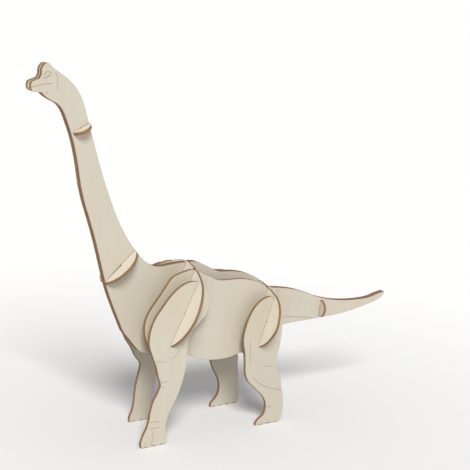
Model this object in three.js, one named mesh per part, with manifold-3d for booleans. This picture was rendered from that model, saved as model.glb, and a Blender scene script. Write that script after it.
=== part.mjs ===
// Slot-together plywood dinosaur: thin plates, all of one sheet thickness, that lock with
// half-lap slots. Two equal profile plates lie face to face in the middle. Units are
// millimetres. +X points to the head, +Y to the dinosaur's left and +Z up. It stands
// with its soles on Z = 0.
import * as THREE from 'three';
import { mergeVertices } from 'three/addons/utils/BufferGeometryUtils.js';
import Module from 'manifold-3d';

// ---- Driving dimensions ----
const SHEET = 1.5;              // plywood thickness
const PLAY = 0.15;              // gap on each side of a plate in its slot
const PROFILE_GAP = 0.3;        // gap between the two profile plates
const FLANK_Y = 9.5;            // middle of each flank plate from the centre plane
const LEG_Y = 16.1;             // middle of each leg plate from the centre plane
const SLOT = SHEET + 2 * PLAY;
const PROFILE_Y = (SHEET + PROFILE_GAP) / 2;
const PROFILE_SLOT = 2 * SHEET + PROFILE_GAP + 2 * PLAY;
const LAP_GAP = 0.15;           // half the gap between two slot ends that face each other
const REACH = 60;               // length of a slot cutter, past any outline
const CURVE_STEPS = 3;          // segments between two outline points
const OVAL_STEPS = 48;          // segments round a collar

// Cross plates stand across the body. Each one's plane holds the Y axis and leans by
// `lean` degrees: its height axis runs from `base` [x, z] backward and upward.
// The laps are the heights along that axis where the slots of two plates meet.
const SHOULDER = { base: [39.5, 49.6], lean: 25.3, profileLap: 20.0, flankLap: 19.0, legLap: 17.7 };
const HIP = { base: [-14.95, 41.8], lean: 17.0, profileLap: 15.8, flankLap: 15.0, legLap: 14.5 };
const UPPER_COLLAR = { base: [89.98, 152.92], lean: 64.4, profileLap: 4.3 };
const LOWER_COLLAR = { base: [68.44, 81.58], lean: 49.3, profileLap: 10.4 };
const TAIL_COLLAR = { base: [-67.55, 47.6], lean: 0, profileLap: 5.6 };

// Ovals of the collars: middle height along the plate, half height and half width.
const UPPER_OVAL = { middle: 4.8, halfHeight: 5.0, halfWidth: 6.3 };
const LOWER_OVAL = { middle: 10.0, halfHeight: 11.2, halfWidth: 8.6 };
const TAIL_OVAL = { middle: 5.5, halfHeight: 5.0, halfWidth: 5.3 };

// Past the upper collar the two profile plates spring apart towards the snout.
const SPREAD = { from: 90, to: 113, sideways: 0.75 };

// ---- Outlines, as [x, z] points of a smooth curve ----
// A profile plate: tail tip, along the back to the head, down the throat and chest,
// and along the belly to the tail tip again.
const BACK = [
  [-113, 57.9], [-108, 57.0], [-102, 55.7], [-95, 55.4], [-86, 55.8], [-76, 57.1], [-66, 59.6],
  [-56, 63.3], [-47, 66.1], [-38, 67.8], [-32, 68.7], [-27, 71.6], [-21, 75.3], [-14, 78.2],
  [-6, 79.8], [1, 80.3], [6, 82.0], [11, 84.4], [17, 86.9], [23, 87.2], [30, 87.0], [37, 86.4],
  [42.5, 87.2], [47.5, 90.0], [51.5, 94.0], [57.5, 101.2], [63.2, 110.4], [68, 120.3],
  [72.4, 130.6], [76.4, 141.3], [79.3, 149.6], [82.0, 157.2], [84.2, 163.7], [86.8, 169.8],
  [91.0, 175.3], [96.0, 179.2], [100.6, 182.0], [103.2, 184.2],
];
const CREST = [[103.2, 184.2], [104.6, 185.0], [106.3, 184.5], [107.6, 182.6], [107.8, 180.0], [108.6, 178.4]];
const MUZZLE = [
  [108.6, 178.4], [111.0, 177.6], [112.6, 176.8], [113.0, 175.2], [112.7, 173.6], [111.6, 172.6],
  [109.5, 172.3], [107.3, 172.1],
];
const THROAT = [
  [107.3, 172.1], [105.4, 170.3], [102.4, 168.5], [98.6, 166.6], [95.8, 163.4], [93.4, 158.4],
  [91.2, 153.2], [89.0, 146.8], [86.9, 138.6], [84.8, 128.6], [82.2, 120.2], [79.0, 111.8],
  [75.9, 103.2], [73.0, 94.2], [70.6, 86.4], [68.4, 79.6], [66.0, 73.6], [62.8, 66.6],
  [59.7, 60.2], [57.4, 55.6], [53.8, 51.4], [50.6, 47.6], [47.4, 44.4], [42.6, 42.3], [36, 40.3],
];
const BELLY = [
  [36, 40.3], [26, 38.9], [14, 38.8], [0, 39.6], [-14, 41.0], [-26, 43.4], [-36, 46.0],
  [-44, 47.4], [-54, 47.8], [-66, 48.0], [-77, 48.4], [-87, 49.3], [-97, 50.9], [-106, 52.9],
  [-110.8, 54.7], [-112.8, 56.4],
];

// A flank plate, from its top behind the shoulder forward and round.
const FLANK = [
  [0.8, 78.3], [5.1, 78.4], [8.2, 78.8], [11.3, 79.8], [17.6, 82.9], [21.5, 84.7], [25.5, 85.7],
  [29.6, 85.0], [33.9, 83.8], [37, 82.1], [40.0, 78.2], [43.3, 73.8], [47.5, 68.4], [50, 64.1],
  [50.9, 59.4], [50.3, 55.2], [48.6, 50.5], [46.4, 46.3], [43.0, 42.8], [38.5, 41.0], [33, 40.6],
  [27.5, 41.6], [23.5, 41.6], [18.5, 39.5], [12.5, 37.9], [5.8, 37.1], [-1.0, 37.2], [-6.6, 38.4],
  [-10.0, 38.6], [-12.4, 36.3], [-15, 33.4], [-18.5, 32.2], [-22.5, 33.8], [-25.8, 36.7],
  [-28.6, 40.5], [-29.8, 46], [-30, 53], [-29.4, 60], [-27.5, 66.2], [-24.5, 70], [-20.5, 72.9],
  [-15.5, 75.6], [-9.3, 77.4], [-4.2, 78.1],
];

// Legs: top, front edge down to the toes; then the heel and the rear edge up again.
const LEFT_FRONT_FRONT = [
  [22.6, 79.6], [26.5, 81.5], [31, 81.6], [36, 79.7], [41, 75.8], [45.6, 70.4], [49.6, 65.0],
  [51.7, 59.0], [52.0, 52.6], [49.8, 46.8], [47.3, 41.2], [45.6, 35.6], [44.1, 31.4], [45.2, 27.8],
  [47.6, 23.4], [49.0, 18.4], [49.5, 14.2], [50.6, 10.2], [52.6, 6.2], [53.6, 2.6], [53.0, 0],
];
const LEFT_FRONT_REAR = [
  [39.2, 0], [38.6, 1.6], [39.2, 6.6], [39.2, 11.8], [37.4, 16.8], [34.4, 22.4], [32.2, 28.0],
  [30.4, 34.6], [29.3, 42.0], [29.4, 49.0], [28.0, 55.2], [23.4, 60.2], [19.4, 65.0], [18.2, 70.4],
  [19.3, 75.8], [22.6, 79.6],
];
const RIGHT_FRONT_FRONT = [
  [19.6, 80.2], [24.8, 83.0], [30.5, 82.0], [35.8, 78.6], [40.2, 72.6], [43.4, 65.4], [46.6, 58.2],
  [47.2, 51.6], [44.8, 45.6], [41.2, 40.4], [38.2, 35.2], [34.9, 31.0], [35.2, 27.2], [36.4, 21.6],
  [37.1, 15.6], [37.3, 10.6], [38.2, 6.0], [39.6, 2.6], [39.4, 0],
];
const RIGHT_FRONT_REAR = [
  [26.0, 0], [24.9, 1.8], [26.2, 6.6], [26.9, 11.6], [26.0, 16.4], [24.4, 22.8], [22.2, 30.2],
  [21.2, 37.0], [21.6, 44.6], [22.4, 51.4], [21.2, 57.0], [17.8, 62.4], [15.8, 67.8], [16.2, 75.0],
  [19.6, 80.2],
];
const LEFT_REAR_FRONT = [
  [-23.6, 66.8], [-20.2, 68.9], [-16.0, 68.3], [-11.4, 65.2], [-7.9, 60.2], [-5.6, 54.0],
  [-4.8, 47.6], [-6.3, 40.8], [-7.1, 34.4], [-7.6, 30.0], [-9.6, 25.6], [-14.0, 21.4],
  [-18.6, 17.2], [-21.6, 13.4], [-22.6, 9.2], [-21.6, 5.6], [-18.4, 3.4], [-16.8, 1.4], [-17.2, 0],
];
const LEFT_REAR_REAR = [
  [-32.2, 0], [-33.4, 2.4], [-34.2, 8.4], [-33.4, 14.4], [-31.7, 20.0], [-30.6, 25.6],
  [-28.2, 29.4], [-26.5, 32.8],
];
const LEFT_REAR_THIGH = [
  [-26.5, 32.8], [-27.2, 36.6], [-28.5, 41.0], [-29.1, 47.0], [-29.2, 53.0], [-28.1, 59.0],
  [-26.2, 63.2], [-23.6, 66.8],
];
const RIGHT_REAR_FRONT = [
  [-26.6, 66.4], [-21.6, 68.9], [-16.6, 68.3], [-11.6, 65.0], [-8.0, 60.0], [-6.0, 53.8],
  [-5.8, 46.6], [-6.8, 39.4], [-8.0, 32.0], [-9.6, 26.0], [-11.8, 21.0], [-14.6, 16.6],
  [-16.2, 12.0], [-16.0, 7.6], [-14.2, 4.6], [-11.8, 2.6], [-11.4, 0],
];
const RIGHT_REAR_REAR = [
  [-28.8, 0], [-29.8, 3.4], [-29.2, 9.0], [-28.6, 14.6], [-27.7, 20.6], [-27.4, 26.6],
  [-25.8, 30.6], [-24.2, 33.8],
];
const RIGHT_REAR_THIGH = [
  [-24.2, 33.8], [-26.6, 38.0], [-29.4, 44.4], [-31.3, 50.8], [-31.6, 56.8], [-30.0, 62.8],
  [-26.6, 66.4],
];

// Half outlines of the ribs, as [distance from the centre plane, height along the rib],
// from the middle of the bottom edge to the middle of the top.
const SHOULDER_HALF = [
  [0, -2.0], [7, -2.0], [13.5, -1.2], [17.2, 0.8], [19.2, 2.4], [22.1, 5.8], [24.5, 10.9],
  [25.6, 15.5], [25.6, 19.8], [24.9, 23.9], [23.5, 28.0], [21.4, 31.7], [18.9, 34.3],
  [15.7, 36.7], [11.5, 38.9], [6.4, 40.7], [0, 41.9],
];
const HIP_HALF = [
  [0, -1.0], [7, -0.9], [13.5, -0.1], [17.9, 1.7], [21.0, 4.1], [23.0, 6.8], [24.6, 10.0],
  [25.4, 13.6], [25.0, 17.4], [23.8, 21.1], [22.2, 24.0], [19.5, 26.8], [16.4, 28.5],
  [13.0, 29.8], [9.0, 31.1], [4.6, 32.2], [0, 32.7],
];

// ---- Solids ----
const wasm = await Module();
wasm.setup();

// A closed three.js geometry as a manifold-3d solid.
function toSolid(geometry) {
  const bare = geometry.index ? geometry.clone() : geometry;
  bare.deleteAttribute('normal');
  bare.deleteAttribute('uv');
  const merged = mergeVertices(bare, 1e-4);
  const vertProperties = new Float32Array(merged.attributes.position.array);
  const triVerts = new Uint32Array(merged.index.array);
  return new wasm.Manifold(new wasm.Mesh({ numProp: 3, vertProperties, triVerts }));
}

function toGeometry(solid) {
  const mesh = solid.getMesh();
  const geometry = new THREE.BufferGeometry();
  geometry.setAttribute('position', new THREE.BufferAttribute(new Float32Array(mesh.vertProperties), 3));
  geometry.setIndex(new THREE.BufferAttribute(new Uint32Array(mesh.triVerts), 1));
  geometry.computeVertexNormals();
  return geometry;
}

function vectors(points) {
  return points.map(([x, y]) => new THREE.Vector2(x, y));
}

// A closed outline of smooth stretches. Stretches that share an end meet in a corner,
// and a gap between two stretches is closed by a straight edge.
function outline(stretches) {
  const shape = new THREE.Shape();
  const [startX, startY] = stretches[0][0];
  shape.moveTo(startX, startY);
  for (const stretch of stretches) {
    const [x, y] = stretch[0];
    const gap = shape.currentPoint.distanceTo(new THREE.Vector2(x, y));
    if (gap > 1e-6) {
      shape.lineTo(x, y);
    }
    shape.splineThru(vectors(stretch.slice(1)));
  }
  return shape;
}

// A closed smooth ring through the points, without a corner anywhere.
function ring(points) {
  const flat = points.map(([x, y]) => new THREE.Vector3(x, y, 0));
  const curve = new THREE.CatmullRomCurve3(flat, true, 'catmullrom', 0.5);
  const steps = curve.getPoints(points.length * CURVE_STEPS).slice(0, -1);
  return new THREE.Shape(steps.map((point) => new THREE.Vector2(point.x, point.y)));
}

// A rib outline: its half and the mirror image of it.
function ribRing(half) {
  const mirrored = half.slice(1, -1).reverse().map(([across, height]) => [-across, height]);
  return ring([...half, ...mirrored]);
}

function oval({ middle, halfHeight, halfWidth }) {
  const curve = new THREE.EllipseCurve(0, middle, halfWidth, halfHeight);
  return new THREE.Shape(curve.getPoints(OVAL_STEPS).slice(0, -1));
}

// A shape as a sheet of plywood, centred on its own plane.
function sheet(shape) {
  const geometry = new THREE.ExtrudeGeometry(shape, {
    depth: SHEET,
    bevelEnabled: false,
    curveSegments: CURVE_STEPS,
  });
  geometry.translate(0, 0, -SHEET / 2);
  return geometry;
}

function plate(shape) {
  return toSolid(sheet(shape));
}

// A profile plate whose head bends sideways, away from the other one (side 1 or -1).
// An upright plate's own Z axis points to -Y once it stands.
function profilePlate(shape, side) {
  const geometry = sheet(shape);
  const position = geometry.attributes.position;
  for (let i = 0; i < position.count; i += 1) {
    const share = (position.getX(i) - SPREAD.from) / (SPREAD.to - SPREAD.from);
    const bend = SPREAD.sideways * Math.max(share, 0) ** 2;
    position.setZ(i, position.getZ(i) - side * bend);
  }
  return toSolid(geometry);
}

// A slot cutter for a plate in the X-Z plane, where cross plate `cross` passes through.
// It runs from the lap up along the cross plate (side 1) or down (side -1).
function crossSlot(cross, lap, side) {
  const box = new THREE.BoxGeometry(SLOT, REACH, 2 * SHEET);
  box.translate(0, lap + side * (REACH / 2 - LAP_GAP), 0);
  box.rotateZ(THREE.MathUtils.degToRad(cross.lean));
  box.translate(cross.base[0], cross.base[1], 0);
  return toSolid(box);
}

// A slot cutter in a cross plate, for what stands upright at distance `across` from the
// middle, running from the lap up (side 1) or down (side -1).
function uprightSlot(across, lap, side, width = SLOT) {
  const box = new THREE.BoxGeometry(width, REACH, 2 * SHEET);
  box.translate(across, lap + side * (REACH / 2 - LAP_GAP), 0);
  return toSolid(box);
}

function cut(solid, cutters) {
  return cutters.reduce((rest, cutter) => rest.subtract(cutter), solid);
}

// ---- Pieces ----
const FACE = { color: 0xd9cdb6, roughness: 0.62, metalness: 0 };
const BODY_FACE = { color: 0xd6cab2, roughness: 0.62, metalness: 0 };
const RIB_FACE = { color: 0xe6dbc4, roughness: 0.6, metalness: 0 };
const LEG_FACE = { color: 0xd3c8b2, roughness: 0.64, metalness: 0 };

const model = new THREE.Group();

function addMesh(name, solid, finish) {
  const mesh = new THREE.Mesh(toGeometry(solid), new THREE.MeshStandardMaterial(finish));
  mesh.name = name;
  model.add(mesh);
  return mesh;
}

// A plate that stands parallel to the X-Z plane at the given Y.
function addUpright(name, solid, y, finish) {
  const mesh = addMesh(name, solid, finish);
  mesh.rotation.x = Math.PI / 2;
  mesh.position.y = y;
}

// A plate that stands across the body on its own leaning plane.
function addCross(name, solid, cross, finish) {
  const mesh = addMesh(name, solid, finish);
  const lean = THREE.MathUtils.degToRad(cross.lean);
  const across = new THREE.Vector3(0, 1, 0);
  const height = new THREE.Vector3(-Math.sin(lean), 0, Math.cos(lean));
  const facing = new THREE.Vector3(Math.cos(lean), 0, Math.sin(lean));
  mesh.quaternion.setFromRotationMatrix(new THREE.Matrix4().makeBasis(across, height, facing));
  mesh.position.set(cross.base[0], 0, cross.base[1]);
}

const profileOutline = outline([BACK, CREST, MUZZLE, THROAT, BELLY]);
for (const [name, side] of [['left_profile', 1], ['right_profile', -1]]) {
  const profile = cut(profilePlate(profileOutline, side), [
    crossSlot(SHOULDER, SHOULDER.profileLap, 1),
    crossSlot(HIP, HIP.profileLap, 1),
    crossSlot(UPPER_COLLAR, UPPER_COLLAR.profileLap, 1),
    crossSlot(LOWER_COLLAR, LOWER_COLLAR.profileLap, 1),
    crossSlot(TAIL_COLLAR, TAIL_COLLAR.profileLap, -1),
  ]);
  addUpright(name, profile, side * PROFILE_Y, FACE);
}

for (const [name, side] of [['left_flank', 1], ['right_flank', -1]]) {
  const flank = cut(plate(ring(FLANK)), [
    crossSlot(SHOULDER, SHOULDER.flankLap, -1),
    crossSlot(HIP, HIP.flankLap, -1),
  ]);
  addUpright(name, flank, side * FLANK_Y, BODY_FACE);
}

const LEGS = [
  ['left_front_leg', [LEFT_FRONT_FRONT, LEFT_FRONT_REAR], 1, SHOULDER],
  ['right_front_leg', [RIGHT_FRONT_FRONT, RIGHT_FRONT_REAR], -1, SHOULDER],
  ['left_rear_leg', [LEFT_REAR_FRONT, LEFT_REAR_REAR, LEFT_REAR_THIGH], 1, HIP],
  ['right_rear_leg', [RIGHT_REAR_FRONT, RIGHT_REAR_REAR, RIGHT_REAR_THIGH], -1, HIP],
];
for (const [name, stretches, side, cross] of LEGS) {
  const leg = cut(plate(outline(stretches)), [crossSlot(cross, cross.legLap, 1)]);
  addUpright(name, leg, side * LEG_Y, LEG_FACE);
}

const RIBS = [['shoulder_rib', SHOULDER_HALF, SHOULDER], ['hip_rib', HIP_HALF, HIP]];
for (const [name, half, cross] of RIBS) {
  const rib = cut(plate(ribRing(half)), [
    uprightSlot(0, cross.profileLap, -1, PROFILE_SLOT),
    uprightSlot(FLANK_Y, cross.flankLap, 1),
    uprightSlot(-FLANK_Y, cross.flankLap, 1),
    uprightSlot(LEG_Y, cross.legLap, -1),
    uprightSlot(-LEG_Y, cross.legLap, -1),
  ]);
  addCross(name, rib, cross, RIB_FACE);
}

const COLLARS = [
  ['upper_neck_collar', UPPER_OVAL, UPPER_COLLAR, -1],
  ['lower_neck_collar', LOWER_OVAL, LOWER_COLLAR, -1],
  ['tail_collar', TAIL_OVAL, TAIL_COLLAR, 1],
];
for (const [name, size, cross, side] of COLLARS) {
  const collar = cut(plate(oval(size)), [uprightSlot(0, cross.profileLap, side, PROFILE_SLOT)]);
  addCross(name, collar, cross, RIB_FACE);
}

export default model;
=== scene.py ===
"""A slot-together plywood dinosaur: laser-cut plates with burnt edges and scored details.

Each plate is rebuilt from its CAD outline with a rounded rim, a burnt cut edge and
scored lines. Metres, +X to the head, +Y to the dinosaur's left, +Z up.
"""

import math
from collections import Counter

import bmesh
import bpy
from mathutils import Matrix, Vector


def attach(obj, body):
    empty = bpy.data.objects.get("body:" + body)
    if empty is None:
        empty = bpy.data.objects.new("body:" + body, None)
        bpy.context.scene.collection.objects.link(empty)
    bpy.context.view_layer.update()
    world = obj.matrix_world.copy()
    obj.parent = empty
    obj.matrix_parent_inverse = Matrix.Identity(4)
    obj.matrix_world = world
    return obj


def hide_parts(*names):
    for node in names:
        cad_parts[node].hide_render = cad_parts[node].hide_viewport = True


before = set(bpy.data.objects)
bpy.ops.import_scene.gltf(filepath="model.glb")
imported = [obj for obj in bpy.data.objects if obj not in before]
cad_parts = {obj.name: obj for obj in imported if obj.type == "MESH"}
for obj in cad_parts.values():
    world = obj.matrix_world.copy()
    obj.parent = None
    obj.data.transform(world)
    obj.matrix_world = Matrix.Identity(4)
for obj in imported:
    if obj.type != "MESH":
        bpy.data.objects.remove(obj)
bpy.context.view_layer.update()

MM = 0.001

# ---- Finish of the plates ----
RIM = 0.08 * MM  # rounding where a face meets the cut edge
SCORCH = 0.35 * MM  # width of the browned border on a face
LINE_WIDTH = 0.22 * MM  # scored line
LINE_DEPTH = 0.12 * MM
SHARP = math.radians(32)  # edges that turn more than this stay crisp
WELD = 0.08 * MM  # outline points closer than this are one
MERGE = 0.001 * MM  # CAD vertices closer than this are one
FACES_FRONT = 0.5  # least cosine between the normals of a front face and its plate
UV_SCALE = 10.0  # UV units per metre
MITRE_LIMIT = 0.55  # least cosine at a corner, so that a sharp one doesn't reach far inward
OPEN = 5 * MM  # how far to look for the outline's other side
ROOM_SHARE = 0.45  # how much of a narrow place the border of one side may take
EDGE_BAND = 0.36  # height of the middle row of faces in the cut edge, as a share of the whole

# The toes under each foot, as small arches cut up into the sole.
TOE_WIDTH = 3.4 * MM
TOE_NOTCH = 0.75 * MM
TOE_STEPS = 8  # outline points for each toe
TOE_POWER = 0.7  # below 1 the notches between the toes are narrow

# The two profile plates spring apart sideways from here to the snout.
SPREAD_FROM = 90 * MM
SPREAD_TO = 113 * MM
SPREAD_SIDEWAYS = 0.75 * MM
SPREAD_STEPS = 11

# ---- Bodies, slots and tones of the pieces, with painted light on the ribs and neck collars ----
# piece: (body, material slot, brightness of the veneer, seed of its grain); the brightness is the
# veneer's own tone, and on the ribs and neck collars also painted light
PIECES = {
    "left_profile": ("core", "body_ply", 0.98, 1.0),
    "right_profile": ("core", "body_ply", 0.97, 4.6),
    "left_flank": ("core", "body_ply", 0.99, 7.3),
    "right_flank": ("core", "body_ply", 0.97, 13.1),
    # The ribs and neck collars are painted about a fifth lighter: painted light on faces that turn
    # towards the head and up.
    "shoulder_rib": ("core", "rib_ply", 1.20, 19.7),
    "hip_rib": ("core", "rib_ply", 1.20, 25.9),
    "left_front_leg": ("left_front", "leg_ply", 1.00, 31.3),
    "right_front_leg": ("right_front", "leg_ply", 0.96, 37.9),
    "left_rear_leg": ("left_rear", "leg_ply", 0.95, 43.1),
    "right_rear_leg": ("right_rear", "leg_ply", 0.97, 49.7),
    "upper_neck_collar": ("upper_collar", "rib_ply", 1.17, 55.1),
    "lower_neck_collar": ("lower_collar", "rib_ply", 1.19, 61.3),
    "tail_collar": ("tail_ring", "rib_ply", 1.03, 67.7),
}

# ---- Scored lines, as [x, z] points in millimetres ----
PROFILE_LINES = [
    [
        (107.2, 178.6),
        (106.6, 179.8),
        (105.8, 180.7),
        (104.7, 181.2),
        (103.6, 181.0),
        (102.5, 180.6),
    ],
    [(106.8, 178.5), (105.9, 178.3), (104.6, 178.5), (103.4, 179.3), (102.8, 180.3)],
    [
        (105.5, 180.3),
        (105.6, 179.8),
        (105.2, 179.2),
        (104.5, 179.0),
        (103.9, 179.5),
        (103.8, 180.3),
    ],
    [(113.2, 174.5), (110.0, 174.9), (107.4, 175.5), (104.5, 175.9), (101.7, 175.9)],
    [(100.6, 180.8), (99.7, 179.1), (99.3, 176.9), (99.4, 175.0), (100.0, 173.3)],
    [(105.1, 171.5), (104.5, 171.9), (103.8, 171.8)],
    [(-33.7, 49.8), (-38.4, 51.2), (-43.5, 51.3), (-50.6, 50.6), (-56.2, 49.5), (-62.5, 48.6)],
    [(-37.5, 67.0), (-37.5, 59.0)],
    [(-36.1, 67.0), (-36.1, 63.6)],
]
SCORED = {
    "left_profile": PROFILE_LINES,
    "right_profile": PROFILE_LINES,
    "left_front_leg": [
        [(34.2, 47.8), (35.8, 45.5), (38.6, 43.8)],
        [(47.3, 43.5), (44.6, 43.2), (42.0, 42.8)],
        [(44.2, 32.7), (40.1, 32.6)],
        [(43.9, 30.1), (41.9, 29.8)],
        [(48.9, 12.9), (43.9, 12.8)],
        [(48.9, 9.4), (43.1, 9.6)],
        [(46.5, 7.6), (46.9, 4.0), (47.4, 0.8)],
        [(50.8, 3.1), (50.7, 1.0)],
    ],
    "right_front_leg": [
        [(28.6, 47.4), (30.2, 45.2), (32.8, 43.6)],
        [(35.0, 32.0), (31.2, 31.8)],
        [(36.2, 13.4), (31.6, 13.2)],
        [(36.6, 9.8), (31.2, 9.8)],
        [(33.0, 7.4), (33.2, 4.0), (33.6, 0.8)],
    ],
    "left_rear_leg": [
        [(-12.6, 27.1), (-15.9, 24.0), (-19.4, 21.6), (-24.2, 19.6), (-28.9, 18.2), (-31.8, 17.4)],
        [(-23.4, 10.1), (-26.5, 9.5)],
        [(-23.9, 8.9), (-25.9, 8.5)],
        [(-20.3, 31.9), (-25.6, 31.2)],
        [(-8.9, 47.3), (-9.6, 40.6), (-10.1, 33.9)],
    ],
    "right_rear_leg": [
        [(-10.9, 26.2), (-14.4, 23.4), (-18.4, 21.4), (-23.0, 19.8), (-27.2, 18.8)],
        [(-17.6, 10.0), (-20.6, 9.4)],
        [(-18.0, 8.8), (-20.0, 8.4)],
        [(-18.8, 32.6), (-23.6, 32.0)],
    ],
}


def srgb(red, green, blue):
    """An 8-bit display colour as a linear shader colour."""

    def linear(value):
        share = value / 255
        return share / 12.92 if share <= 0.04045 else ((share + 0.055) / 1.055) ** 2.4

    return (linear(red), linear(green), linear(blue), 1.0)


def scaled(colour, factor):
    return tuple(min(channel * factor, 1.0) for channel in colour[:3]) + (1.0,)


# ---------------------------------------------------------------- materials


SEED_DIRECTION = (1.0, 0.7, 0.3)  # where a seed moves the grain
MIX_FIRST, MIX_SECOND, MIX_RESULT = 6, 7, 2  # a Mix node's sockets for colours


class Graph:
    """A material's node tree, with short calls to add nodes and link them."""

    def __init__(self, name):
        self.material = bpy.data.materials.new(name)
        self.material.use_nodes = True
        self.nodes = self.material.node_tree.nodes
        self.links = self.material.node_tree.links
        self.shader = self.nodes["Principled BSDF"]

    def put(self, socket, value):
        if isinstance(value, bpy.types.NodeSocket):
            self.links.new(value, socket)
        else:
            socket.default_value = value

    def uv(self, stretch, offset):
        """UV coordinates scaled by `stretch` and moved by `offset` along SEED_DIRECTION."""
        source = self.nodes.new("ShaderNodeUVMap")
        source.uv_map = "UVMap"
        mapping = self.nodes.new("ShaderNodeMapping")
        mapping.inputs["Scale"].default_value = stretch
        mapping.inputs["Location"].default_value = [offset * share for share in SEED_DIRECTION]
        self.put(mapping.inputs["Vector"], source.outputs["UV"])
        return mapping.outputs["Vector"]

    def noise(self, vector, scale, detail=3.0, roughness=0.55, distortion=0.0):
        node = self.nodes.new("ShaderNodeTexNoise")
        node.inputs["Scale"].default_value = scale
        node.inputs["Detail"].default_value = detail
        node.inputs["Roughness"].default_value = roughness
        node.inputs["Distortion"].default_value = distortion
        self.put(node.inputs["Vector"], vector)
        return node.outputs["Fac"]

    def attribute(self, name):
        node = self.nodes.new("ShaderNodeAttribute")
        node.attribute_name = name
        return node.outputs["Fac"]

    def ramp(self, factor, stops):
        node = self.nodes.new("ShaderNodeValToRGB")
        elements = node.color_ramp.elements
        while len(elements) < len(stops):
            elements.new(0.5)
        for element, (position, colour) in zip(elements, stops):
            element.position = position
            element.color = colour
        self.put(node.inputs["Fac"], factor)
        return node.outputs["Color"]

    def span(self, factor, low, high, to_low=0.0, to_high=1.0):
        """Maps low..high to to_low..to_high, clamped."""
        node = self.nodes.new("ShaderNodeMapRange")
        for name, value in (
            ("From Min", low),
            ("From Max", high),
            ("To Min", to_low),
            ("To Max", to_high),
        ):
            node.inputs[name].default_value = value
        self.put(node.inputs["Value"], factor)
        return node.outputs["Result"]

    def math(self, operation, first, second):
        node = self.nodes.new("ShaderNodeMath")
        node.operation = operation
        self.put(node.inputs[0], first)
        self.put(node.inputs[1], second)
        return node.outputs[0]

    def mix(self, factor, first, second):
        node = self.nodes.new("ShaderNodeMix")
        node.data_type = "RGBA"
        self.put(node.inputs["Factor"], factor)
        self.put(node.inputs[MIX_FIRST], first)
        self.put(node.inputs[MIX_SECOND], second)
        return node.outputs[MIX_RESULT]

    def bump(self, height, distance):
        node = self.nodes.new("ShaderNodeBump")
        node.inputs["Distance"].default_value = distance
        self.put(node.inputs["Height"], height)
        self.put(self.shader.inputs["Normal"], node.outputs["Normal"])


VENEER = srgb(198, 191, 176)
VENEER_WARM = srgb(198, 188, 168)
VENEER_DARK = srgb(186, 174, 151)
PORE = srgb(166, 151, 127)
SCORCHED = srgb(158, 122, 82)
EDGE_TAN = srgb(176, 134, 88)
EDGE_BROWN = srgb(128, 93, 60)
EDGE_CHAR = srgb(74, 53, 37)
SCORE_BROWN = srgb(168, 154, 131)
SCORE_DARK = srgb(140, 125, 103)

# UV scales of the noises: the smaller the second number, the longer the streaks
FIBRE_GRAIN = (1.0, 0.035, 1.0)
PORE_GRAIN = (1.0, 0.05, 1.0)
BAND_GRAIN = (1.0, 0.10, 1.0)
STREAK_GRAIN = (1.0, 0.12, 1.0)
FIGURE_GRAIN = (1.0, 0.22, 1.0)
PATCH_GRAIN = (1.0, 0.3, 1.0)
NO_GRAIN = (1.0, 1.0, 1.0)

SCORCH_POWER = 2.4  # above 1 the browned border fades quickly
PORE_RELIEF = 0.6  # of the fibres' relief
FACE_RELIEF = 0.04 * MM
EDGE_RELIEF = 0.08 * MM
SCORE_RELIEF = 0.03 * MM
FACE_SPECULAR = 0.32
EDGE_SPECULAR = 0.25


def veneer_material(name, tone_and_painted_light, seed):
    """Sanded pale veneer with fine long grain, and a browned border at the cut."""
    graph = Graph(name)
    fibres = graph.noise(graph.uv(FIBRE_GRAIN, seed), scale=210.0, detail=5.0, roughness=0.62)
    bands = graph.noise(
        graph.uv(BAND_GRAIN, seed + 3.1), scale=13.0, detail=3.0, roughness=0.5, distortion=0.6
    )
    figure = graph.noise(
        graph.uv(FIGURE_GRAIN, seed + 5.7), scale=34.0, detail=2.0, roughness=0.5, distortion=1.2
    )
    pores = graph.noise(graph.uv(PORE_GRAIN, seed + 9.2), scale=420.0, detail=2.0, roughness=0.5)
    # Each piece's brightness factor scales the veneer: its own tone, and on the ribs and neck
    # collars also painted light.
    colour = graph.ramp(
        graph.span(bands, 0.3, 0.72),
        [
            (0.0, scaled(VENEER, tone_and_painted_light)),
            (0.55, scaled(VENEER, tone_and_painted_light * 0.97)),
            (1.0, scaled(VENEER_WARM, tone_and_painted_light)),
        ],
    )
    colour = graph.mix(graph.span(figure, 0.50, 0.80, 0.0, 0.30), colour, VENEER_WARM)
    colour = graph.mix(graph.span(fibres, 0.48, 0.78, 0.0, 0.42), colour, VENEER_DARK)
    colour = graph.mix(graph.span(pores, 0.66, 0.78, 0.0, 0.35), colour, PORE)
    smoke = graph.noise(graph.uv(NO_GRAIN, seed + 1.4), scale=26.0)
    burnt = graph.math("POWER", graph.attribute("scorch"), SCORCH_POWER)
    burnt = graph.math("MULTIPLY", burnt, graph.span(smoke, 0.3, 0.7, 0.2, 0.6))
    colour = graph.mix(burnt, colour, SCORCHED)
    graph.put(graph.shader.inputs["Base Color"], colour)
    graph.put(graph.shader.inputs["Roughness"], graph.span(fibres, 0.3, 0.7, 0.56, 0.70))
    graph.shader.inputs["Specular IOR Level"].default_value = FACE_SPECULAR
    sunk_pores = graph.math("MULTIPLY", pores, PORE_RELIEF)
    graph.bump(graph.math("SUBTRACT", fibres, sunk_pores), FACE_RELIEF)
    return graph.material


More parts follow.
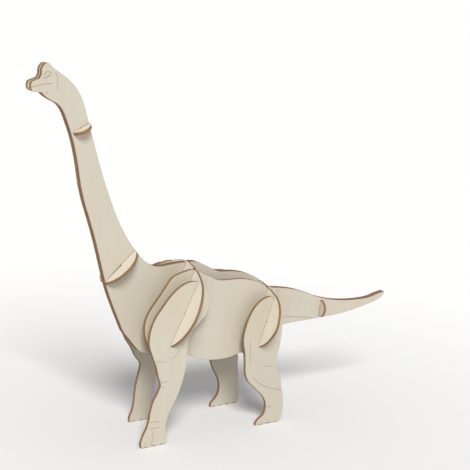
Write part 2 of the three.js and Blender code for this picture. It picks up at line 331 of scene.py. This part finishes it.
def edge_material(name, seed):
    """A laser-cut edge: browned wood, charred along both borders, streaked across."""
    graph = Graph(name)
    depth = graph.attribute("depth")
    streaks = graph.noise(graph.uv(STREAK_GRAIN, seed), scale=95.0, detail=4.0, roughness=0.6)
    patches = graph.noise(graph.uv(PATCH_GRAIN, seed + 4.4), scale=9.0)
    layers = graph.ramp(
        depth,
        [
            (0.0, EDGE_CHAR),
            (0.13, EDGE_BROWN),
            (0.34, EDGE_TAN),
            (0.40, EDGE_BROWN),
            (0.46, EDGE_TAN),
            (0.62, EDGE_TAN),
            (0.68, EDGE_BROWN),
            (0.87, EDGE_BROWN),
            (1.0, EDGE_CHAR),
        ],
    )
    colour = graph.mix(graph.span(patches, 0.35, 0.70, 0.0, 0.65), layers, EDGE_BROWN)
    colour = graph.mix(graph.span(streaks, 0.50, 0.80, 0.0, 0.60), colour, EDGE_CHAR)
    graph.put(graph.shader.inputs["Base Color"], colour)
    graph.put(graph.shader.inputs["Roughness"], graph.span(streaks, 0.3, 0.7, 0.62, 0.80))
    graph.shader.inputs["Specular IOR Level"].default_value = EDGE_SPECULAR
    graph.bump(streaks, EDGE_RELIEF)
    return graph.material


def score_material():
    """The scored lines: shallow, lightly burnt grooves."""
    graph = Graph("scored_line")
    coordinates = graph.nodes.new("ShaderNodeTexCoord").outputs["Object"]
    dashes = graph.noise(coordinates, scale=1400.0)
    stops = [(0.3, SCORE_DARK), (0.7, SCORE_BROWN)]
    graph.put(graph.shader.inputs["Base Color"], graph.ramp(dashes, stops))
    graph.put(graph.shader.inputs["Roughness"], graph.span(dashes, 0.3, 0.7, 0.75, 0.9))
    graph.bump(dashes, SCORE_RELIEF)
    return graph.material


# ---------------------------------------------------------------- plates


class Plate:
    """A CAD plate's mid-plane, half its thickness and its outline in the plane."""

    def __init__(self, node):
        mesh = bmesh.new()
        mesh.from_mesh(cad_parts[node].data)
        bmesh.ops.remove_doubles(mesh, verts=mesh.verts, dist=MERGE)
        bmesh.ops.dissolve_degenerate(mesh, edges=mesh.edges, dist=MERGE)
        mesh.normal_update()
        self.normal = self.main_normal(mesh)
        up = Vector((0, 0, 1))
        self.up = (up - self.normal * up.dot(self.normal)).normalized()
        self.across = self.up.cross(self.normal)
        heights = Counter(round(vert.co.dot(self.normal), 6) for vert in mesh.verts)
        (first, _), (second, _) = heights.most_common(2)
        self.middle = (first + second) / 2
        self.half = abs(first - second) / 2
        self.outline = self.trace(mesh)
        mesh.free()

    @staticmethod
    def main_normal(mesh):
        """The direction that most of the plate's area faces, on its positive side."""
        areas = {}
        for face in mesh.faces:
            key = tuple(round(abs(value), 3) for value in face.normal)
            areas.setdefault(key, [0.0, face.normal.copy()])[0] += face.calc_area()
        normal = max(areas.values(), key=lambda entry: entry[0])[1]
        lead = max(normal, key=abs)
        return normal if lead > 0 else -normal

    def flat(self, point):
        return (point.dot(self.across), point.dot(self.up))

    def space(self, flat, height):
        return self.across * flat[0] + self.up * flat[1] + self.normal * (self.middle + height)

    def trace(self, mesh):
        """The rim of the front face, anticlockwise seen from the front."""
        following = {}
        for face in mesh.faces:
            if face.normal.dot(self.normal) < FACES_FRONT:
                continue
            for loop in face.loops:
                others = [other for other in loop.edge.link_faces if other is not face]
                if any(other.normal.dot(self.normal) > FACES_FRONT for other in others):
                    continue
                following[loop.vert.index] = loop.link_loop_next.vert.index
        mesh.verts.ensure_lookup_table()
        start = next(iter(following))
        order = [start]
        while following[order[-1]] != start:
            order.append(following[order[-1]])
            if len(order) > len(following):
                raise ValueError("the rim of the face is not one closed loop")
        points = [self.flat(mesh.verts[index].co) for index in order]
        kept = []
        for point in points:
            if not kept or math.dist(point, kept[-1]) > WELD:
                kept.append(point)
        return kept


def add_toes(points):
    """The outline of a leg with its flat sole cut into toes, which still reach the ground."""
    ground = min(up for _, up in points)
    result = []
    for index, point in enumerate(points):
        after = points[(index + 1) % len(points)]
        result.append(point)
        length = abs(after[0] - point[0])
        if max(point[1], after[1]) > ground + WELD or length < TOE_WIDTH:
            continue
        toes = max(round(length / TOE_WIDTH), 2)
        for step in range(1, toes * TOE_STEPS):
            share = step / (toes * TOE_STEPS)
            arch = 1 - abs(math.sin(math.pi * (toes - 1) * share + math.pi / 2)) ** TOE_POWER
            across = point[0] + (after[0] - point[0]) * share
            result.append((across, ground + TOE_NOTCH * arch))
    return result


def room_ahead(points, index, direction):
    """How far the outline's other side is from a point, along `direction`, up to OPEN."""
    x, y = points[index]
    count = len(points)
    room = OPEN
    for other in range(count):
        after = (other + 1) % count
        if index in (other, after):
            continue
        first_x, first_y = points[other][0] - x, points[other][1] - y
        second_x, second_y = points[after][0] - x, points[after][1] - y
        first_side = direction.x * first_y - direction.y * first_x
        second_side = direction.x * second_y - direction.y * second_x
        if first_side * second_side > 0 or first_side == second_side:
            continue
        share = first_side / (first_side - second_side)
        cross_x = first_x + (second_x - first_x) * share
        cross_y = first_y + (second_y - first_y) * share
        along = direction.x * cross_x + direction.y * cross_y
        if 0 < along < room:
            room = along
    return room


def inward(points):
    """At each outline point, how far to go inward for each metre of border."""
    result = []
    count = len(points)
    for index, (x, y) in enumerate(points):
        before = points[index - 1]
        after = points[(index + 1) % count]
        first = Vector((x - before[0], y - before[1])).normalized()
        second = Vector((after[0] - x, after[1] - y)).normalized()
        mitre = Vector((-first.y, first.x)) + Vector((-second.y, second.x))
        mitre.normalize()
        stretch = 1 / max(mitre.dot(Vector((-first.y, first.x))), MITRE_LIMIT)
        # Where the plate is narrow the border stays on its own side of the middle.
        stretch = min(stretch, ROOM_SHARE * room_ahead(points, index, mitre) / SCORCH)
        result.append((mitre.x * stretch, mitre.y * stretch))
    return result


def inset(points, steps, distance):
    """The closed outline moved inward by `distance`, with mitred corners."""
    return [(x + dx * distance, y + dy * distance) for (x, y), (dx, dy) in zip(points, steps)]


def lengths_along(points):
    """The distance along the closed outline to each point, and the whole length last."""
    total = 0.0
    result = [0.0]
    for index, point in enumerate(points):
        total += math.dist(point, points[(index + 1) % len(points)])
        result.append(total)
    return result


def build_plate(name, plate, materials):
    """The plate as a mesh: two faces with a browned border, a rim and the cut edge."""
    half = plate.half
    # Each ring: inset from the outline, height, burn of the face, depth in the edge.
    rings = [
        (SCORCH, half, 0.0, 0.0),
        (RIM, half, 1.0, 0.0),
        (0.0, half - RIM, 1.0, 0.0),
        (0.0, half * EDGE_BAND, 1.0, (1 - EDGE_BAND) / 2),
        (0.0, -half * EDGE_BAND, 1.0, (1 + EDGE_BAND) / 2),
        (0.0, -half + RIM, 1.0, 1.0),
        (RIM, -half, 1.0, 1.0),
        (SCORCH, -half, 0.0, 1.0),
    ]
    mesh = bmesh.new()
    scorch = mesh.verts.layers.float.new("scorch")
    depth = mesh.verts.layers.float.new("depth")
    uv = mesh.loops.layers.uv.new("UVMap")
    loops = []
    steps = inward(plate.outline)
    for distance, height, burn, share in rings:
        ring = []
        for flat in inset(plate.outline, steps, distance):
            vert = mesh.verts.new(plate.space(flat, height))
            vert[scorch] = burn
            vert[depth] = share
            ring.append(vert)
        loops.append(ring)
    count = len(plate.outline)
    along = lengths_along(plate.outline)
    caps = [mesh.faces.new(loops[0]), mesh.faces.new(list(reversed(loops[-1])))]
    for level in range(len(loops) - 1):
        is_face = level in (0, len(loops) - 2)
        upper, lower = loops[level], loops[level + 1]
        for index in range(count):
            after = (index + 1) % count
            face = mesh.faces.new((upper[after], upper[index], lower[index], lower[after]))
            face.material_index = 0 if is_face else 1
            face.smooth = not is_face
            if not is_face:
                low = rings[level][1] * UV_SCALE
                high = rings[level + 1][1] * UV_SCALE
                start = along[index] * UV_SCALE
                end = along[index + 1] * UV_SCALE
                corners = ((end, low), (start, low), (start, high), (end, high))
                for loop, corner in zip(face.loops, corners):
                    loop[uv].uv = corner
    for face in mesh.faces:
        if face.material_index == 0:
            for loop in face.loops:
                across, up = plate.flat(loop.vert.co)
                loop[uv].uv = (across * UV_SCALE, up * UV_SCALE)
    for face in caps:
        face.smooth = False
    mesh.normal_update()
    for edge in mesh.edges:
        if edge.calc_face_angle(0) > SHARP:
            edge.smooth = False
    data = bpy.data.meshes.new(name)
    mesh.to_mesh(data)
    mesh.free()
    for material in materials:
        data.materials.append(material)
    piece = bpy.data.objects.new(name, data)
    bpy.context.scene.collection.objects.link(piece)
    return piece


def add_line_cutter(mesh, plate, line, side):
    """A thin closed ribbon along a scored line, sunk into one face of the plate."""
    points = [plate.flat(Vector((x * MM, 0, z * MM))) for x, z in line]
    tops, floors = [], []
    for index, point in enumerate(points):
        before = points[max(index - 1, 0)]
        after = points[min(index + 1, len(points) - 1)]
        along = Vector((after[0] - before[0], after[1] - before[1])).normalized()
        half_width = LINE_WIDTH / 2
        for offset in (half_width, -half_width):
            flat = (point[0] - along.y * offset, point[1] + along.x * offset)
            tops.append(mesh.verts.new(plate.space(flat, side * (plate.half + LINE_DEPTH))))
            floors.append(mesh.verts.new(plate.space(flat, side * (plate.half - LINE_DEPTH))))
    last = len(points) - 1
    for index in range(last):
        left, right = 2 * index, 2 * index + 1
        next_left, next_right = left + 2, right + 2
        mesh.faces.new((tops[left], tops[right], tops[next_right], tops[next_left]))
        mesh.faces.new((floors[left], floors[next_left], floors[next_right], floors[right]))
        mesh.faces.new((tops[left], tops[next_left], floors[next_left], floors[left]))
        mesh.faces.new((tops[right], floors[right], floors[next_right], tops[next_right]))
    mesh.faces.new((tops[0], floors[0], floors[1], tops[1]))
    mesh.faces.new((tops[2 * last], tops[2 * last + 1], floors[2 * last + 1], floors[2 * last]))


def score(piece, plate, lines, side, material):
    """Cuts the scored lines into the outer face of the piece."""
    mesh = bmesh.new()
    for line in lines:
        add_line_cutter(mesh, plate, line, side)
    bmesh.ops.recalc_face_normals(mesh, faces=mesh.faces)
    data = bpy.data.meshes.new(piece.name + "_cutter")
    mesh.to_mesh(data)
    mesh.free()
    data.materials.append(material)
    cutter = bpy.data.objects.new(data.name, data)
    bpy.context.scene.collection.objects.link(cutter)
    modifier = piece.modifiers.new("score", "BOOLEAN")
    modifier.operation = "DIFFERENCE"
    modifier.solver = "EXACT"
    modifier.use_self = True  # the browned border folds over itself at tight corners
    modifier.material_mode = "TRANSFER"
    modifier.object = cutter
    graph = bpy.context.evaluated_depsgraph_get()
    result = bpy.data.meshes.new_from_object(piece.evaluated_get(graph))
    piece.modifiers.clear()
    piece.data = result
    piece.data.name = piece.name
    bpy.data.objects.remove(cutter)


def spread(piece, side):
    """Bends a profile plate's head sideways, by strips that stay flat."""
    mesh = bmesh.new()
    mesh.from_mesh(piece.data)
    for step in range(SPREAD_STEPS):
        place = SPREAD_FROM + (SPREAD_TO - SPREAD_FROM) * step / SPREAD_STEPS
        everything = mesh.verts[:] + mesh.edges[:] + mesh.faces[:]
        bmesh.ops.bisect_plane(mesh, geom=everything, plane_co=(place, 0, 0), plane_no=(1, 0, 0))
    for vert in mesh.verts:
        share = max(vert.co.x - SPREAD_FROM, 0) / (SPREAD_TO - SPREAD_FROM)
        vert.co.y += side * SPREAD_SIDEWAYS * share**2
    mesh.to_mesh(piece.data)
    mesh.free()


def build_pieces():
    scored_line = score_material()
    for node, (body, slot, tone_and_painted_light, seed) in PIECES.items():
        plate = Plate(node)
        if node.endswith("_leg"):
            plate.outline = add_toes(plate.outline)
        materials = [
            veneer_material(node + "_veneer", tone_and_painted_light, seed),
            edge_material(node + "_edge", seed),
        ]
        piece = build_plate(node + "_ply", plate, materials)
        outer_side = 1 if node.startswith("left") else -1
        if node in SCORED:
            score(piece, plate, SCORED[node], outer_side, scored_line)
        if node.endswith("_profile"):
            spread(piece, outer_side)
        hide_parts(node)
        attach(piece, body)


# ---------------------------------------------------------------- stage, light and camera

FLOOR_SIZE = 60.0
FLOOR_COLOUR = srgb(252, 252, 252)
FLOOR_PAINTED_SHADE = srgb(231, 231, 231)  # painted shade: the floor is painted a little greyer around the model, as a pool of shadow
FLOOR_SHADE_REACH = (0.05, 0.32)  # metres from the middle over which that painted shade fades
FLOOR_MOTTLE = 0.99  # tone of the floor's darker patches, as a share of its colour
FLOOR_ROUGHNESS = 0.8
WORLD_LIGHT = 0.43
KEY_DIRECTION = Vector((0.385, 0.640, 0.665))  # towards the light
KEY_POWER = 2.9
KEY_ANGLE = math.radians(20)  # how wide the light looks, for the softness of shadows
KEY_COLOUR = (1.0, 0.99, 0.97)


def make_floor():
    mesh = bmesh.new()
    bmesh.ops.create_grid(mesh, x_segments=1, y_segments=1, size=FLOOR_SIZE / 2)
    data = bpy.data.meshes.new("floor")
    mesh.to_mesh(data)
    mesh.free()
    floor = bpy.data.objects.new("floor", data)
    bpy.context.scene.collection.objects.link(floor)
    graph = Graph("floor")
    coordinates = graph.nodes.new("ShaderNodeTexCoord").outputs["Object"]
    paper = graph.noise(coordinates, scale=3.0, detail=2.0)
    stops = [(0.0, scaled(FLOOR_COLOUR, FLOOR_MOTTLE)), (1.0, FLOOR_COLOUR)]
    away = graph.nodes.new("ShaderNodeVectorMath")
    away.operation = "LENGTH"
    graph.put(away.inputs[0], coordinates)
    shade_share = graph.span(away.outputs["Value"], *FLOOR_SHADE_REACH)
    # Painted shade: the floor's colour turns greyer near the model, as a pool of shadow around it.
    colour = graph.mix(shade_share, FLOOR_PAINTED_SHADE, graph.ramp(paper, stops))
    graph.put(graph.shader.inputs["Base Color"], colour)
    graph.shader.inputs["Roughness"].default_value = FLOOR_ROUGHNESS
    # A glossy floor turns grey where it is seen at a low angle.
    graph.shader.inputs["Specular IOR Level"].default_value = 0.0
    data.materials.append(graph.material)


def make_world():
    world = bpy.data.worlds.new("studio")
    world.use_nodes = True
    background = world.node_tree.nodes["Background"]
    background.inputs["Color"].default_value = (1.0, 1.0, 1.0, 1.0)
    background.inputs["Strength"].default_value = WORLD_LIGHT
    bpy.context.scene.world = world


def make_light():
    data = bpy.data.lights.new("key", "SUN")
    data.energy = KEY_POWER
    data.angle = KEY_ANGLE
    data.color = KEY_COLOUR
    light = bpy.data.objects.new("key", data)
    light.rotation_euler = KEY_DIRECTION.to_track_quat("Z", "Y").to_euler()
    bpy.context.scene.collection.objects.link(light)


CAMERA_PLACE = Vector((0.3978, 0.5233, 0.2509))
CAMERA_AIM = Vector((-0.572, -0.782, -0.247))
CAMERA_ROLL = 0.069  # radians
CAMERA_LENS = 103.5  # millimetres, on the sensor below
CAMERA_SENSOR = 36.0
CAMERA_SHIFT = (0.0806, 0.0592)
CAMERA_CLIP = (0.01, 100.0)


def make_camera():
    data = bpy.data.cameras.new("camera")
    data.sensor_width = CAMERA_SENSOR
    data.lens = CAMERA_LENS
    data.shift_x, data.shift_y = CAMERA_SHIFT
    data.clip_start, data.clip_end = CAMERA_CLIP
    camera = bpy.data.objects.new("camera", data)
    aim = CAMERA_AIM.normalized()
    right = aim.cross(Vector((0, 0, 1))).normalized()
    down = aim.cross(right)
    cosine, sine = math.cos(CAMERA_ROLL), math.sin(CAMERA_ROLL)
    rolled_right = right * cosine - down * sine
    rolled_down = right * sine + down * cosine
    matrix = camera.matrix_world.copy()
    for row in range(3):
        matrix[row][0] = rolled_right[row]
        matrix[row][1] = -rolled_down[row]
        matrix[row][2] = -aim[row]
        matrix[row][3] = CAMERA_PLACE[row]
    camera.matrix_world = matrix
    bpy.context.scene.collection.objects.link(camera)
    bpy.context.scene.camera = camera


make_camera()
make_world()
make_light()
make_floor()
build_pieces()
bpy.context.scene.view_settings.view_transform = "Standard"
